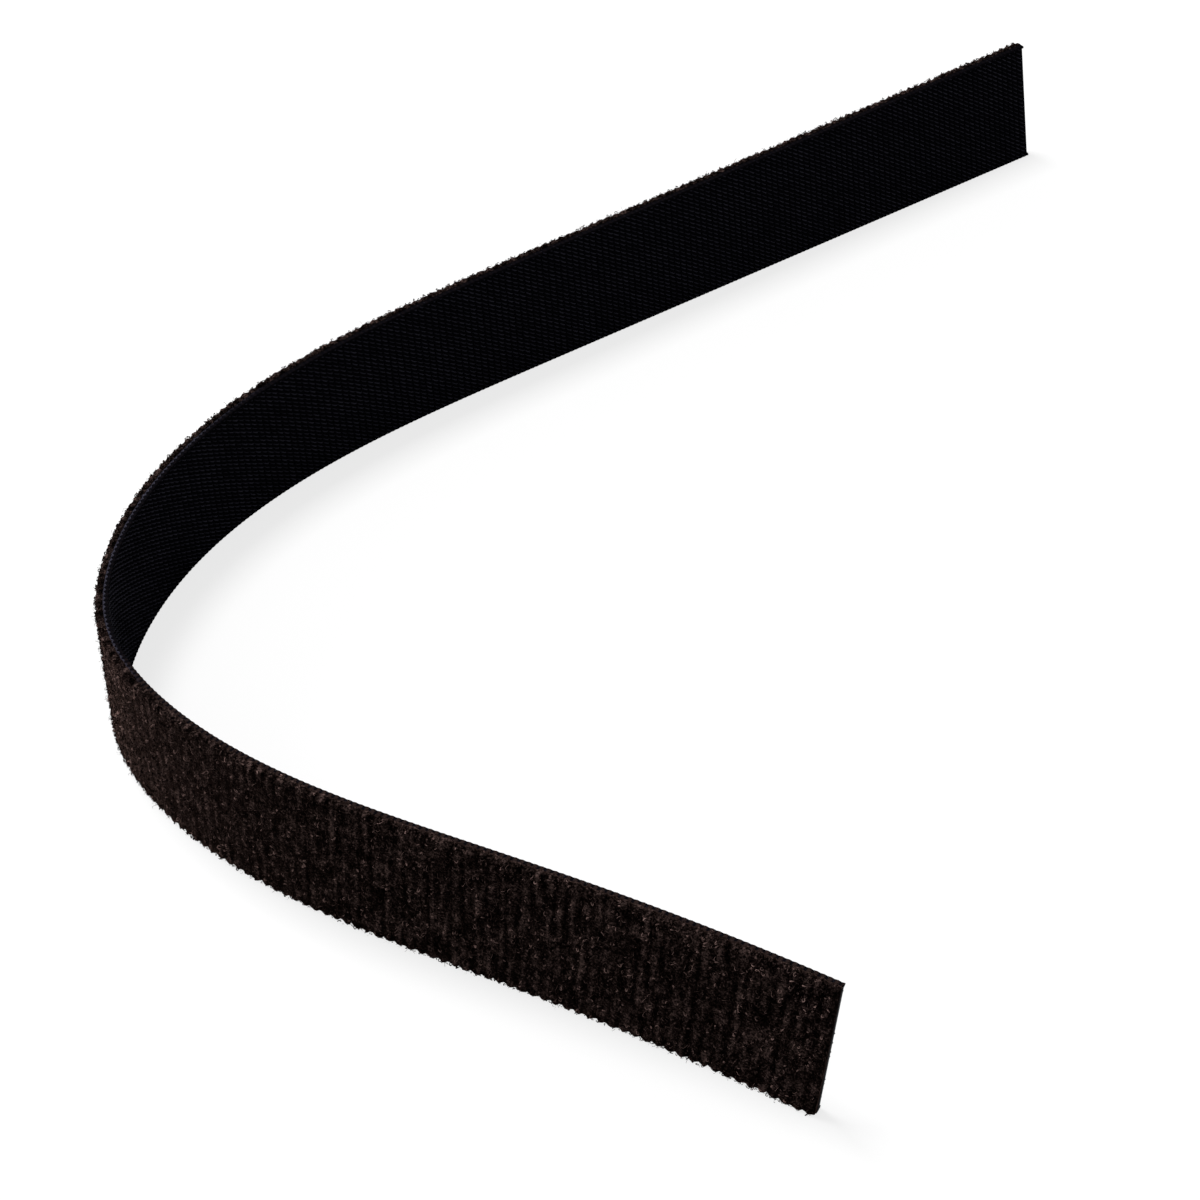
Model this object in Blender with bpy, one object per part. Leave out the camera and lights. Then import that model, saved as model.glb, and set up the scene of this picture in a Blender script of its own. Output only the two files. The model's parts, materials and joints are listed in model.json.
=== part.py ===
"""Hook and loop cable tie, standing on its lower edge in an open bend.

Two woven tapes of one width lie back to back and follow the same bend. The hook
tape is on the inside of the bend and the loop tape is on the outside.
Lengths are in metres and +Z is up. The origin is at the bottom, in the middle.
"""

import math

import bmesh
import bpy
import numpy as np

MM = 0.001

# The strap as it is cut from the roll
STRAP_LENGTH = 330.0 * MM
STRAP_WIDTH = 20.0 * MM

# The glue line between the two tapes
BOND_LINE = 0.3 * MM

# Hook tape: a woven ground with rows of hooks along it
HOOK_GROUND = 0.35 * MM
HOOK_HEIGHT = 0.40 * MM
HOOK_ROW_PITCH = 1.48 * MM
HOOK_ROW_DEPTH = 0.18 * MM
HOOK_ROW_FOOT = 0.06 * MM
HOOK_PLAIN_EDGE = 0.45 * MM
HOOK_STATION_STEP = 3.3 * MM

# Loop tape: a knitted ground with ribs of loop pile across it
LOOP_GROUND = 0.35 * MM
PILE_HEIGHT = 0.55 * MM
PILE_RIB_PITCH = 1.57 * MM
PILE_RIB_DEPTH = 0.14 * MM
PILE_CREST_EDGE = 0.12 * MM
PILE_SCALLOP = 0.36 * MM

# How the strap lies: a nearly straight near arm, a bend, and a straight far arm
NEAR_HEADING = math.radians(149.0)
NEAR_ARM_LENGTH = 28.0 * MM
NEAR_BOW_RADIUS = 385.0 * MM
BEND_TURN = math.radians(108.3)
BEND_LEAD_IN = 87.0 * MM
BEND_LEAD_OUT = 116.0 * MM
PATH_STEP = 0.25 * MM

# The bend has one tighter place
TIGHT_TURN = math.radians(15.7)
TIGHT_PLACE = 114.5 * MM
TIGHT_REACH = 18.0 * MM

# The strap twists as it lies: its top edge leans inward at the near end and outward at the far end
NEAR_LEAN = math.radians(-10.1)
FAR_LEAN = math.radians(13.8)

# Colours of the two faces
HOOK_COLOUR = (0.008, 0.008, 0.011)
HOOK_ROUGHNESS = 0.55
LOOP_COLOUR = (0.020, 0.013, 0.012)
LOOP_ROUGHNESS = 0.95


def smooth_step(share):
    """Rise gently from 0 to 1 while share goes from 0 to 1."""
    held = np.clip(share, 0.0, 1.0)
    return held * held * (3.0 - 2.0 * held)


def curvature(distance):
    """Curvature of the strap at a distance from its near end, clockwise positive."""
    tightest = BEND_TURN / (0.5 * (BEND_LEAD_IN + BEND_LEAD_OUT))
    rise = smooth_step((distance - NEAR_ARM_LENGTH) / BEND_LEAD_IN)
    fall = smooth_step((distance - NEAR_ARM_LENGTH - BEND_LEAD_IN) / BEND_LEAD_OUT)
    extra = TIGHT_TURN / TIGHT_REACH * smooth_step(1.0 - np.abs(distance - TIGHT_PLACE) / TIGHT_REACH)
    return tightest * rise * (1.0 - fall) - (1.0 - rise) / NEAR_BOW_RADIUS + extra


def running_sum(values, step):
    """Trapezium sum of values at an even step, starting at zero."""
    middles = 0.5 * (values[1:] + values[:-1])
    return np.concatenate(([0.0], np.cumsum(middles) * step))


def strap_path():
    """The bond line's run on the floor as distances, x, y and heading."""
    count = max(2, round(STRAP_LENGTH / PATH_STEP)) + 1
    distance = np.linspace(0.0, STRAP_LENGTH, count)
    step = distance[1]
    heading = NEAR_HEADING - running_sum(curvature(distance), step)
    return distance, running_sum(np.cos(heading), step), running_sum(np.sin(heading), step), heading


def hook_section():
    """Outline of the hook tape as (distance inward from the bond line, height)."""
    back = 0.5 * BOND_LINE
    ground = back + HOOK_GROUND
    crest = ground + HOOK_HEIGHT
    valley = crest - HOOK_ROW_DEPTH
    field = STRAP_WIDTH - 2.0 * HOOK_PLAIN_EDGE
    rows = max(1, math.floor(field / HOOK_ROW_PITCH))
    pitch = field / rows
    outline = [(back, 0.0), (ground, 0.0), (ground, HOOK_PLAIN_EDGE)]
    for row in range(rows):
        foot = HOOK_PLAIN_EDGE + row * pitch
        outline.append((valley, foot + HOOK_ROW_FOOT))
        outline.append((crest, foot + 0.5 * pitch))
    outline.append((valley, STRAP_WIDTH - HOOK_PLAIN_EDGE - HOOK_ROW_FOOT))
    outline.append((ground, STRAP_WIDTH - HOOK_PLAIN_EDGE))
    outline.append((ground, STRAP_WIDTH))
    outline.append((back, STRAP_WIDTH))
    return outline


def pile_section(on_crest):
    """Outline of the loop tape on a rib or between two ribs, measured outward."""
    back = 0.5 * BOND_LINE
    ground = back + LOOP_GROUND
    if on_crest:
        face = ground + PILE_HEIGHT
        edge = PILE_CREST_EDGE
    else:
        face = ground + PILE_HEIGHT - PILE_RIB_DEPTH
        edge = PILE_CREST_EDGE + PILE_SCALLOP
    return [
        (back, 0.0),
        (ground, 0.0),
        (face, edge),
        (face, STRAP_WIDTH - edge),
        (ground, STRAP_WIDTH),
        (back, STRAP_WIDTH),
    ]


def lean_slope(station):
    """How far the strap leans outward for each unit of height."""
    return math.tan(NEAR_LEAN + (FAR_LEAN - NEAR_LEAN) * station / STRAP_LENGTH)


def strap_point(path, station, off, height):
    """A point off to one side of the bond line and at a height above the floor."""
    distance, along_x, along_y, heading = path
    turn = np.interp(station, distance, heading)
    out = off + height * lean_slope(station)
    x = np.interp(station, distance, along_x) - out * math.sin(turn)
    y = np.interp(station, distance, along_y) + out * math.cos(turn)
    return x, y, height


def sweep(path, stations, outlines, side):
    """Rings of points, one per station, with each outline set off to one side."""
    rings = []
    for station, outline in zip(stations, outlines):
        rings.append([strap_point(path, station, side * off, height) for off, height in outline])
    return rings


def hook_tape_rings(path):
    """The hook tape, on the inside of the bend."""
    spans = max(2, round(STRAP_LENGTH / HOOK_STATION_STEP))
    stations = np.linspace(0.0, STRAP_LENGTH, spans + 1)
    outline = hook_section()
    return sweep(path, stations, [outline] * len(stations), -1.0)


def loop_tape_rings(path):
    """The loop tape, on the outside of the bend, with a rib at every second station."""
    ribs = max(2, round(STRAP_LENGTH / PILE_RIB_PITCH))
    stations = np.linspace(0.0, STRAP_LENGTH, 2 * ribs + 1)
    outlines = [pile_section(index % 2 == 1) for index in range(len(stations))]
    return sweep(path, stations, outlines, 1.0)


def floor_middle(*tapes):
    """Middle of the box around the tapes, seen from above."""
    points = np.array([point for rings in tapes for ring in rings for point in ring])
    low = points.min(axis=0)
    high = points.max(axis=0)
    return 0.5 * (low[0] + high[0]), 0.5 * (low[1] + high[1])


def plain_material(name, colour, roughness):
    """A matt material of one colour."""
    material = bpy.data.materials.new(name)
    material.use_nodes = True
    shader = material.node_tree.nodes["Principled BSDF"]
    shader.inputs["Base Color"].default_value = (*colour, 1.0)
    shader.inputs["Roughness"].default_value = roughness
    shader.inputs["Metallic"].default_value = 0.0
    return material


def add_tape(name, rings, middle, material):
    """Join the rings into one closed tape with a square cut at each end."""
    mesh = bpy.data.meshes.new(name)
    shape = bmesh.new()
    loops = []
    for ring in rings:
        loops.append([shape.verts.new((x - middle[0], y - middle[1], z)) for x, y, z in ring])
    for first, second in zip(loops, loops[1:]):
        for index in range(len(first)):
            after = (index + 1) % len(first)
            shape.faces.new((first[index], first[after], second[after], second[index]))
    shape.faces.new(loops[0])
    shape.faces.new(loops[-1])
    bmesh.ops.recalc_face_normals(shape, faces=shape.faces)
    shape.to_mesh(mesh)
    shape.free()
    mesh.materials.append(material)
    tape = bpy.data.objects.new(name, mesh)
    bpy.context.scene.collection.objects.link(tape)
    return tape


def main():
    for leftover in list(bpy.data.objects):
        bpy.data.objects.remove(leftover, do_unlink=True)
    path = strap_path()
    hook_rings = hook_tape_rings(path)
    loop_rings = loop_tape_rings(path)
    middle = floor_middle(hook_rings, loop_rings)
    hook_material = plain_material("hook_tape", HOOK_COLOUR, HOOK_ROUGHNESS)
    loop_material = plain_material("loop_tape", LOOP_COLOUR, LOOP_ROUGHNESS)
    add_tape("hook_tape", hook_rings, middle, hook_material)
    add_tape("loop_tape", loop_rings, middle, loop_material)


main()
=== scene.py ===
# %% [markdown]
# # A hook and loop cable tie
#
# The tie is a strap of two tapes, glued back to back. The inner face of the bend is a
# near-black field of tiny nylon hooks. The outer face is a brown-black pile of loops, soft
# and uneven, with faint ribs across it and a scalloped edge.
#
# This lesson builds both faces from one idea: a strap has coordinates of its own. One number
# says how far along it a point lies, one how high, and one how far it stands off the glue
# line. Every piece below is made in those three numbers.

import json
import math

import bmesh
import bpy
import numpy as np
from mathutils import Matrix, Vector, noise

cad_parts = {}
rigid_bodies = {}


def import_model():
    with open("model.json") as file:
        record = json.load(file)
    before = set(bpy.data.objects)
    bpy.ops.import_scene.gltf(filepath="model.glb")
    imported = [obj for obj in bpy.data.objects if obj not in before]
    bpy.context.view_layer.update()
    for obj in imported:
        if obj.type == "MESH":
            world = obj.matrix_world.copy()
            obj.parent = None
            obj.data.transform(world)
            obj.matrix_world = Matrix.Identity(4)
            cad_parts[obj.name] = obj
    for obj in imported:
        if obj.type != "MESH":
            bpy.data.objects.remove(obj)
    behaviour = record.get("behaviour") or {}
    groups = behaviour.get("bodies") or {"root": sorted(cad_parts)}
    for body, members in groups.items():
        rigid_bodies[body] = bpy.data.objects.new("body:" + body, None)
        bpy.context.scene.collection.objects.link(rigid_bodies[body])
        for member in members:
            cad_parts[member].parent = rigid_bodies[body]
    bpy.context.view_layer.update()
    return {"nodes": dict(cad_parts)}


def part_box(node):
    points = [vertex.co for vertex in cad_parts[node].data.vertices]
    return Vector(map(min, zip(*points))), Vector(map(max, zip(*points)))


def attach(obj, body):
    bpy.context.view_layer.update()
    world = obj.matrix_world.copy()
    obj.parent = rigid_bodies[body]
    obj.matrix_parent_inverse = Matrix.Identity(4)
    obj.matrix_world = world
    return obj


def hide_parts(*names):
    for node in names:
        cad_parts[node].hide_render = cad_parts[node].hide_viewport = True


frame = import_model()
MM = 0.001
FULL_TURN = 2.0 * math.pi
print("solids:", sorted(frame["nodes"]))

# %% [markdown]
# ## The run of the strap
#
# The real strap springs open as it stands: a short arm that is almost straight, a bend that
# tightens quickly and opens slowly, and a long straight arm. A circle between two lines
# would show a break where it starts, so the bend is a curvature that rises and falls
# smoothly, with one tighter place in it. Adding the curvature up gives the heading, and
# adding the heading up gives the line that the glue between the tapes follows.
#
# The strap also twists a little as it springs open. Its lower edge stays on the table, and
# its top edge leans inward at the near end and outward at the far end.

# %% Sizes of the strap
STRAP_LENGTH = 330.0 * MM
STRAP_WIDTH = 20.0 * MM
NEAR_HEADING = math.radians(149.0)
NEAR_ARM_LENGTH = 28.0 * MM
NEAR_BOW_RADIUS = 385.0 * MM
BEND_TURN = math.radians(108.3)
BEND_LEAD_IN = 87.0 * MM
BEND_LEAD_OUT = 116.0 * MM
TIGHT_TURN = math.radians(15.7)
TIGHT_PLACE = 114.5 * MM
TIGHT_REACH = 18.0 * MM
NEAR_LEAN = math.radians(-10.1)
FAR_LEAN = math.radians(13.8)
PATH_STEP = 0.25 * MM
RUN_ON = 5.0 * MM


# %% Trace the glue line on the floor
def smooth_step(share):
    held = np.clip(share, 0.0, 1.0)
    return held * held * (3.0 - 2.0 * held)


def curvature(distance):
    tightest = BEND_TURN / (0.5 * (BEND_LEAD_IN + BEND_LEAD_OUT))
    rise = smooth_step((distance - NEAR_ARM_LENGTH) / BEND_LEAD_IN)
    fall = smooth_step((distance - NEAR_ARM_LENGTH - BEND_LEAD_IN) / BEND_LEAD_OUT)
    extra = TIGHT_TURN / TIGHT_REACH * smooth_step(1.0 - np.abs(distance - TIGHT_PLACE) / TIGHT_REACH)
    return tightest * rise * (1.0 - fall) - (1.0 - rise) / NEAR_BOW_RADIUS + extra


def lean_slope(along):
    """How far the strap leans outward for each unit of height."""
    return np.tan(NEAR_LEAN + (FAR_LEAN - NEAR_LEAN) * along / STRAP_LENGTH)


def running_sum(values, step):
    middles = 0.5 * (values[1:] + values[:-1])
    return np.concatenate(([0.0], np.cumsum(middles) * step))


path_steps = round((STRAP_LENGTH + 2.0 * RUN_ON) / PATH_STEP)
path_distance = np.linspace(-RUN_ON, STRAP_LENGTH + RUN_ON, path_steps + 1)
turned = running_sum(curvature(path_distance), PATH_STEP)
path_heading = NEAR_HEADING - turned + np.interp(0.0, path_distance, turned)
path_x = running_sum(np.cos(path_heading), PATH_STEP)
path_y = running_sum(np.sin(path_heading), PATH_STEP)

# %% [markdown]
# The line so far starts at zero. The solids say where it belongs. The loop tape is the outer
# one: its lower edge reaches furthest left at the bend, on the top of a rib, and its leaning
# top edge reaches furthest back at the far end, where the cut runs between two ribs.

# %% Move the line to where the solids stand
RIB_TOP = 1.05 * MM
RIB_VALLEY = 0.91 * MM
VALLEY_EDGE = 0.48 * MM
loop_low, loop_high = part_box("loop_tape")
path_x += loop_low.x - (path_x - np.sin(path_heading) * RIB_TOP).min()
end_heading = np.interp(STRAP_LENGTH, path_distance, path_heading)
end_y = np.interp(STRAP_LENGTH, path_distance, path_y)
end_off = RIB_VALLEY + (STRAP_WIDTH - VALLEY_EDGE) * math.tan(FAR_LEAN)
path_y += loop_high.y - (end_y + math.cos(end_heading) * end_off)
print("line starts at", np.interp(0.0, path_distance, path_x), np.interp(0.0, path_distance, path_y))


# %% [markdown]
# ## Strap numbers
#
# Every piece is made from three numbers: how far along, how far off the glue line, how high.
# This one function bends, twists and places them all.

# %% Turn strap numbers into places
def strap_places(along, off, up):
    """Places for distances along the strap, off the glue line (outward) and up."""
    along, off, up = np.broadcast_arrays(along, off, up)
    out = off + up * lean_slope(along)
    turn = np.interp(along, path_distance, path_heading)
    x = np.interp(along, path_distance, path_x) - out * np.sin(turn)
    y = np.interp(along, path_distance, path_y) + out * np.cos(turn)
    return np.stack([x, y, up], axis=-1)


# %% [markdown]
# ## Node trees as sums
#
# A material and a Geometry Nodes tree are both graphs. Wiring them by hand hides the idea, so
# one small class wraps an output socket and lets it stand in a sum. The other class adds any
# other node from its type, its settings and its inputs.

# %% A socket that can stand in a sum
class Wire:
    """One output of a node."""

    def __init__(self, net, socket):
        self.net = net
        self.socket = socket

    def other(self, name):
        """Another output of the same node."""
        return Wire(self.net, self.socket.node.outputs[name])

    def maths(self, operation, *values):
        return self.net.node("ShaderNodeMath", {"operation": operation}, values)

    def __add__(self, value):
        return self.maths("ADD", self, value)

    def __radd__(self, value):
        return self.maths("ADD", value, self)

    def __sub__(self, value):
        return self.maths("SUBTRACT", self, value)

    def __rsub__(self, value):
        return self.maths("SUBTRACT", value, self)

    def __mul__(self, value):
        return self.maths("MULTIPLY", self, value)

    def __rmul__(self, value):
        return self.maths("MULTIPLY", value, self)

    def __truediv__(self, value):
        return self.maths("DIVIDE", self, value)

    def sine(self):
        return self.maths("SINE", self)

    def cosine(self):
        return self.maths("COSINE", self)

    def above(self, value):
        return self.maths("GREATER_THAN", self, value)

    def clamped(self):
        return self.net.node("ShaderNodeClamp", inputs=[self])

    def phase(self, pitch):
        """An angle that turns once in every pitch."""
        return self / pitch * FULL_TURN


# %% A tree that takes any node
class Net:
    """A node tree that is being built."""

    def __init__(self, tree):
        self.tree = tree

    def pick(self, sockets, key):
        if isinstance(key, int):
            return sockets[key]
        return next(socket for socket in sockets if socket.name == key and socket.enabled)

    def node(self, kind, settings=None, inputs=None):
        made = self.tree.nodes.new(kind)
        for name, value in (settings or {}).items():
            if name == "stops":
                self.fill_ramp(made.color_ramp, value)
            else:
                setattr(made, name, value)
        inputs = inputs or {}
        pairs = inputs.items() if isinstance(inputs, dict) else enumerate(inputs)
        for key, value in pairs:
            socket = self.pick(made.inputs, key)
            if isinstance(value, Wire):
                self.tree.links.new(value.socket, socket)
            else:
                socket.default_value = value
        shown = [socket for socket in made.outputs if socket.enabled]
        return Wire(self, shown[0]) if shown else made

    def fill_ramp(self, ramp, stops):
        while len(ramp.elements) < len(stops):
            ramp.elements.new(0.5)
        for element, (place, colour) in zip(ramp.elements, stops):
            element.position = place
            element.color = colour

    def mix_colour(self, share, first, second):
        settings = {"data_type": "RGBA", "clamp_factor": True}
        return self.node("ShaderNodeMix", settings, {"Factor": share, "A": first, "B": second})


# %% [markdown]
# ## Finishes
#
# Five kinds of finish cover the tie: the woven grounds, the nylon of the hooks, the felt, the
# loose loops and hairs, and the shorn ends. All are so dark that a usual gloss would outshine
# the colour, because the whole room around the tie is white. So the gloss is a small fraction
# of plain plastic's, and what makes the pile look like pile is the spread of its colours:
# most yarns are almost black, some are dark brown, and a few catch the light.

# %% Start a material
SHEEN_ROUGHNESS = 0.3
SHEEN_TINT = (1.0, 0.60, 0.50, 1.0)
PILE_TINT = (1.54, 1.00, 0.90)
NYLON_TINT = (0.92, 0.88, 1.25)


def new_finish(name, gloss, sheen=0.0):
    """A material with almost no gloss, its net and its shader."""
    material = bpy.data.materials.new(name)
    material.use_nodes = True
    net = Net(material.node_tree)
    shader = material.node_tree.nodes["Principled BSDF"]
    shader.inputs["Specular IOR Level"].default_value = gloss
    shader.inputs["Sheen Weight"].default_value = sheen
    shader.inputs["Sheen Roughness"].default_value = SHEEN_ROUGHNESS
    shader.inputs["Sheen Tint"].default_value = SHEEN_TINT
    return material, net, shader


def plug(net, shader, name, value):
    """Let a value drive one socket of the shader."""
    net.tree.links.new(value.socket, shader.inputs[name])


def warm(level):
    """The pile's red-brown black, at a level of brightness."""
    return (*(part * level for part in PILE_TINT), 1.0)


def cool(level):
    """The nylon's blue black, at a level of brightness."""
    return (*(part * level for part in NYLON_TINT), 1.0)


def noise_on(net, places, scale, detail, roughness=0.5):
    """A cloudy noise from 0 to 1."""
    inputs = {"Vector": places, "Scale": scale, "Detail": detail, "Roughness": roughness}
    return net.node("ShaderNodeTexNoise", inputs=inputs)


def relief_on(net, strength, distance, height):
    """A normal that makes a flat face look as if it had this height."""
    inputs = {"Strength": strength, "Distance": distance, "Height": height}
    return net.node("ShaderNodeBump", inputs=inputs)


# %% The woven ground of a tape
YARN_PITCH_ALONG = 0.44 * MM
YARN_PITCH_AROUND = 0.30 * MM
HOOK_GROUND_FRONT = 0.36 * MM
LOOP_GROUND_FRONT = 0.20 * MM
SELVEDGE_FRONT = 0.74 * MM
SELVEDGE_RISE = 0.34 * MM
SELVEDGE_SLOPE = 0.12 * MM
BEAD_PITCH = 0.88 * MM
RIM_WIDTH = 0.80 * MM
PALE_WIDTH = 0.15 * MM
PALE_FROM = 101.0 * MM
PALE_TO = 172.0 * MM
PALE_FADE_IN = 7.0 * MM
PALE_FADE_OUT = 25.0 * MM
# Painted highlight: the pale tone of the ground's top face along the bend.
BEND_HIGHLIGHT_TONE = cool(0.045)
GAP_TONE = cool(0.0002)
FLUFF_SCALE = 2200.0
WEAVE_RELIEF = 0.06 * MM


def half_way_round(front, edge_front):
    """Distance from the back of a ground, round its lower edge, to the middle of its face."""
    slope = math.hypot(edge_front - front, SELVEDGE_SLOPE)
    return edge_front + slope - SELVEDGE_SLOPE + 0.5 * STRAP_WIDTH


def woven_ground(name, front, rim, half_round):
    """A fine weave with a rim of its own tone, and a pale line of painted highlight on the top face
    along the bend.
    """
    material, net, shader = new_finish(name, gloss=0.0)
    spread = net.node("ShaderNodeUVMap", {"uv_map": "strap"})
    parts = net.node("ShaderNodeSeparateXYZ", inputs=[spread])
    around = parts.other("Y")
    warp = parts.phase(YARN_PITCH_ALONG).sine()
    weft = around.phase(YARN_PITCH_AROUND).sine()
    weave = warp * weft * 0.5 + 0.5
    from_middle = around - half_round
    from_middle = from_middle.maths("ABSOLUTE", from_middle)
    on_rim = from_middle.above(half_round - RIM_WIDTH)
    on_highlit_top = from_middle.above(half_round - PALE_WIDTH)
    fluff = noise_on(net, spread, FLUFF_SCALE, 3.0)
    # Painted shade: once every bead pitch the rim falls to the darker front tone, as shade in the gaps
    # between beads.
    bead_shading = parts.phase(BEAD_PITCH).cosine() * 0.8 + 0.6
    past_near_arm = ((parts - PALE_FROM) / PALE_FADE_IN).clamped()
    bent = past_near_arm * ((PALE_TO - parts) / PALE_FADE_OUT).clamped()
    tone = net.mix_colour(on_rim * bead_shading.clamped() * (1.0 - 0.9 * past_near_arm), front, rim)
    # Painted highlight: along the bend the top face is painted pale, where that edge catches the light.
    tone = net.mix_colour(on_highlit_top * bent, tone, BEND_HIGHLIGHT_TONE)
    shadowed = net.mix_colour(weave * 0.5 + fluff * 0.5, GAP_TONE, tone)
    plug(net, shader, "Base Color", shadowed)
    plug(net, shader, "Roughness", 0.75 - 0.2 * weave)
    plug(net, shader, "Normal", relief_on(net, 0.6, WEAVE_RELIEF, weave))
    return material


hook_half = half_way_round(HOOK_GROUND_FRONT, SELVEDGE_FRONT)
loop_half = half_way_round(LOOP_GROUND_FRONT, LOOP_GROUND_FRONT)
hook_ground_finish = woven_ground("hook_ground_weave", cool(0.0032), warm(0.015), hook_half)
loop_ground_finish = woven_ground("loop_ground_weave", warm(0.0030), warm(0.010), loop_half)


# %% The nylon of the hooks
PATCH_SCALE = 160.0
DARKEST_HOOK = cool(0.0026)
PALEST_HOOK = cool(0.0180)


def hook_nylon():
    """Bare nylon: each hook has a shade of its own, and the shades drift in patches."""
    material, net, shader = new_finish("hook_nylon", gloss=0.008)
    places = net.node("ShaderNodeTexCoord").other("Object")
    patches = noise_on(net, places, PATCH_SCALE, 2.0)
    shade = net.node("ShaderNodeAttribute", {"attribute_name": "shade"}).other("Fac")
    share = patches * 0.5 + shade * 0.5
    plug(net, shader, "Base Color", net.mix_colour(share, DARKEST_HOOK, PALEST_HOOK))
    plug(net, shader, "Roughness", 0.40 + 0.2 * patches)
    return material


hook_finish = hook_nylon()


# %% The yarn of the pile
RIB_PITCH = 1.57 * MM
FELT_GRAIN = 0.28 * MM
FELT_CLUMP = 1.3 * MM
STREAK_WIDTH = 0.80 * MM
STREAK_LENGTH = 5.0 * MM
EDGE_WRAP = 0.90 * MM
CREST_LIGHT = 0.020
STREAK_LIGHT = 0.24
CLUMP_SHARE = 0.25
FELT_RELIEF = 0.10 * MM
PILE_GLOSS = 0.002
PILE_SHEEN = 0.05
FELT_STOPS = [(0.40, warm(0.0001)), (0.47, warm(0.0007)), (0.53, warm(0.0045)), (0.63, warm(0.033))]
LOOP_STOPS = [(0.22, warm(0.0001)), (0.52, warm(0.0015)), (0.76, warm(0.011)), (0.87, warm(0.095))]
# Painted sheen: the hairs' ramp is lighter than the loops', for the bright fringe along the outline.
HAIR_STOPS = [(0.22, warm(0.0050)), (0.52, warm(0.0150)), (0.76, warm(0.055)), (0.87, warm(0.140))]


def rib_light(net, along, up):
    """A little more light on the crest of a rib, and less between two, by uneven streaks."""
    crest = along.phase(RIB_PITCH).cosine() * -1.0
    run = net.node("ShaderNodeCombineXYZ", inputs=[along / STREAK_WIDTH, up / STREAK_LENGTH])
    streaks = noise_on(net, run, 1.0, 1.0)
    return crest * CREST_LIGHT + (streaks - 0.5) * STREAK_LIGHT


def yarn_tone(net, clumps, single, along, up, stops):
    """Colour from a broad noise, a shade of each yarn's own and the light on the ribs."""
    share = clumps * CLUMP_SHARE + single * (1.0 - CLUMP_SHARE) + rib_light(net, along, up)
    return net.node("ShaderNodeValToRGB", {"stops": stops}, {"Fac": share})


def felt():
    """The matted pile."""
    material, net, shader = new_finish("pile_felt", 0.0, PILE_SHEEN)
    places = net.node("ShaderNodeTexCoord").other("Object")
    clumps = noise_on(net, places, 1.0 / FELT_CLUMP, 2.0)
    curls = noise_on(net, places, 1.0 / FELT_GRAIN, 5.0, roughness=0.75)
    spread = net.node("ShaderNodeUVMap", {"uv_map": "strap"})
    along = net.node("ShaderNodeSeparateXYZ", inputs=[spread])
    up = along.other("Y") - EDGE_WRAP
    plug(net, shader, "Base Color", yarn_tone(net, clumps, curls, along, up, FELT_STOPS))
    plug(net, shader, "Roughness", 0.6 + 0.3 * curls)
    plug(net, shader, "Normal", relief_on(net, 0.8, FELT_RELIEF, curls))
    return material


def loose_yarn(name, stops):
    """Single loops or hairs, each of its own shade, and a few that catch the light."""
    material, net, shader = new_finish(name, PILE_GLOSS, PILE_SHEEN)
    places = net.node("ShaderNodeTexCoord").other("Object")
    clumps = noise_on(net, places, 1.0 / FELT_CLUMP, 2.0)
    shade = net.node("ShaderNodeAttribute", {"attribute_name": "shade"}).other("Fac")
    along = net.node("ShaderNodeAttribute", {"attribute_name": "along"}).other("Fac")
    up = net.node("ShaderNodeAttribute", {"attribute_name": "up"}).other("Fac")
    plug(net, shader, "Base Color", yarn_tone(net, clumps, shade, along, up, stops))
    plug(net, shader, "Roughness", 0.5 + 0.3 * clumps)
    return material


felt_finish = felt()
loop_finish = loose_yarn("pile_yarn", LOOP_STOPS)
hair_finish = loose_yarn("hair_yarn", HAIR_STOPS)


# %% The shorn ends
MELT_SCALE = 2400.0


def shorn_nylon():
    """Cut yarn ends, smoother than the weave and a little glossier."""
    material, net, shader = new_finish("shorn_end", gloss=0.03)
    places = net.node("ShaderNodeTexCoord").other("Object")
    melt = noise_on(net, places, MELT_SCALE, 3.0)
    plug(net, shader, "Base Color", net.mix_colour(melt, cool(0.001), cool(0.006)))
    plug(net, shader, "Roughness", 0.4 + 0.25 * melt)
    return material


shorn_finish = shorn_nylon()
print("finishes:", len(bpy.data.materials))

# %% [markdown]
# ## Ribbons
#
# The two grounds, the felt under the loops and the shorn ends are ribbons: rings of points at
# stations along the strap, joined by quads and closed at both ends. The map named strap
# holds the distance along and the distance around, in metres, so a weave keeps its size.

# %% Build a closed ribbon from strap numbers
def closed_ribbon(name, stations, offs, ups, material, crease=40.0):
    rings, ring_size = offs.shape
    places = strap_places(stations[:, None], offs, ups).reshape(-1, 3)
    index = np.arange(rings * ring_size).reshape(rings, ring_size)
    after = np.roll(index, -1, axis=1)
    quads = np.stack([index[:-1], after[:-1], after[1:], index[1:]], axis=-1).reshape(-1, 4)
    faces = quads.tolist() + [index[0].tolist(), index[-1].tolist()]
    mesh = bpy.data.meshes.new(name)
    mesh.from_pydata(places.tolist(), [], faces)
    steps = np.hypot(np.diff(offs, axis=1), np.diff(ups, axis=1))
    around = np.concatenate([np.zeros((rings, 1)), np.cumsum(steps, axis=1)], axis=1)
    spread = np.stack([np.broadcast_to(stations[:, None], offs.shape), around], axis=-1)
    corners = np.empty(len(mesh.loops), dtype=np.int32)
    mesh.loops.foreach_get("vertex_index", corners)
    spread_map = mesh.uv_layers.new(name="strap")
    spread_map.data.foreach_set("uv", spread.reshape(-1, 2)[corners].ravel())
    shape = bmesh.new()
    shape.from_mesh(mesh)
    bmesh.ops.recalc_face_normals(shape, faces=shape.faces)
    shape.to_mesh(mesh)
    shape.free()
    mesh.shade_smooth()
    mesh.set_sharp_from_angle(angle=math.radians(crease))
    mesh.materials.append(material)
    ribbon = bpy.data.objects.new(name, mesh)
    bpy.context.scene.collection.objects.link(ribbon)
    print(name, "has", sum(len(face.vertices) - 2 for face in mesh.polygons), "triangles")
    return ribbon


def stations_every(step):
    return np.linspace(0.0, STRAP_LENGTH, round(STRAP_LENGTH / step) + 1)
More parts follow.
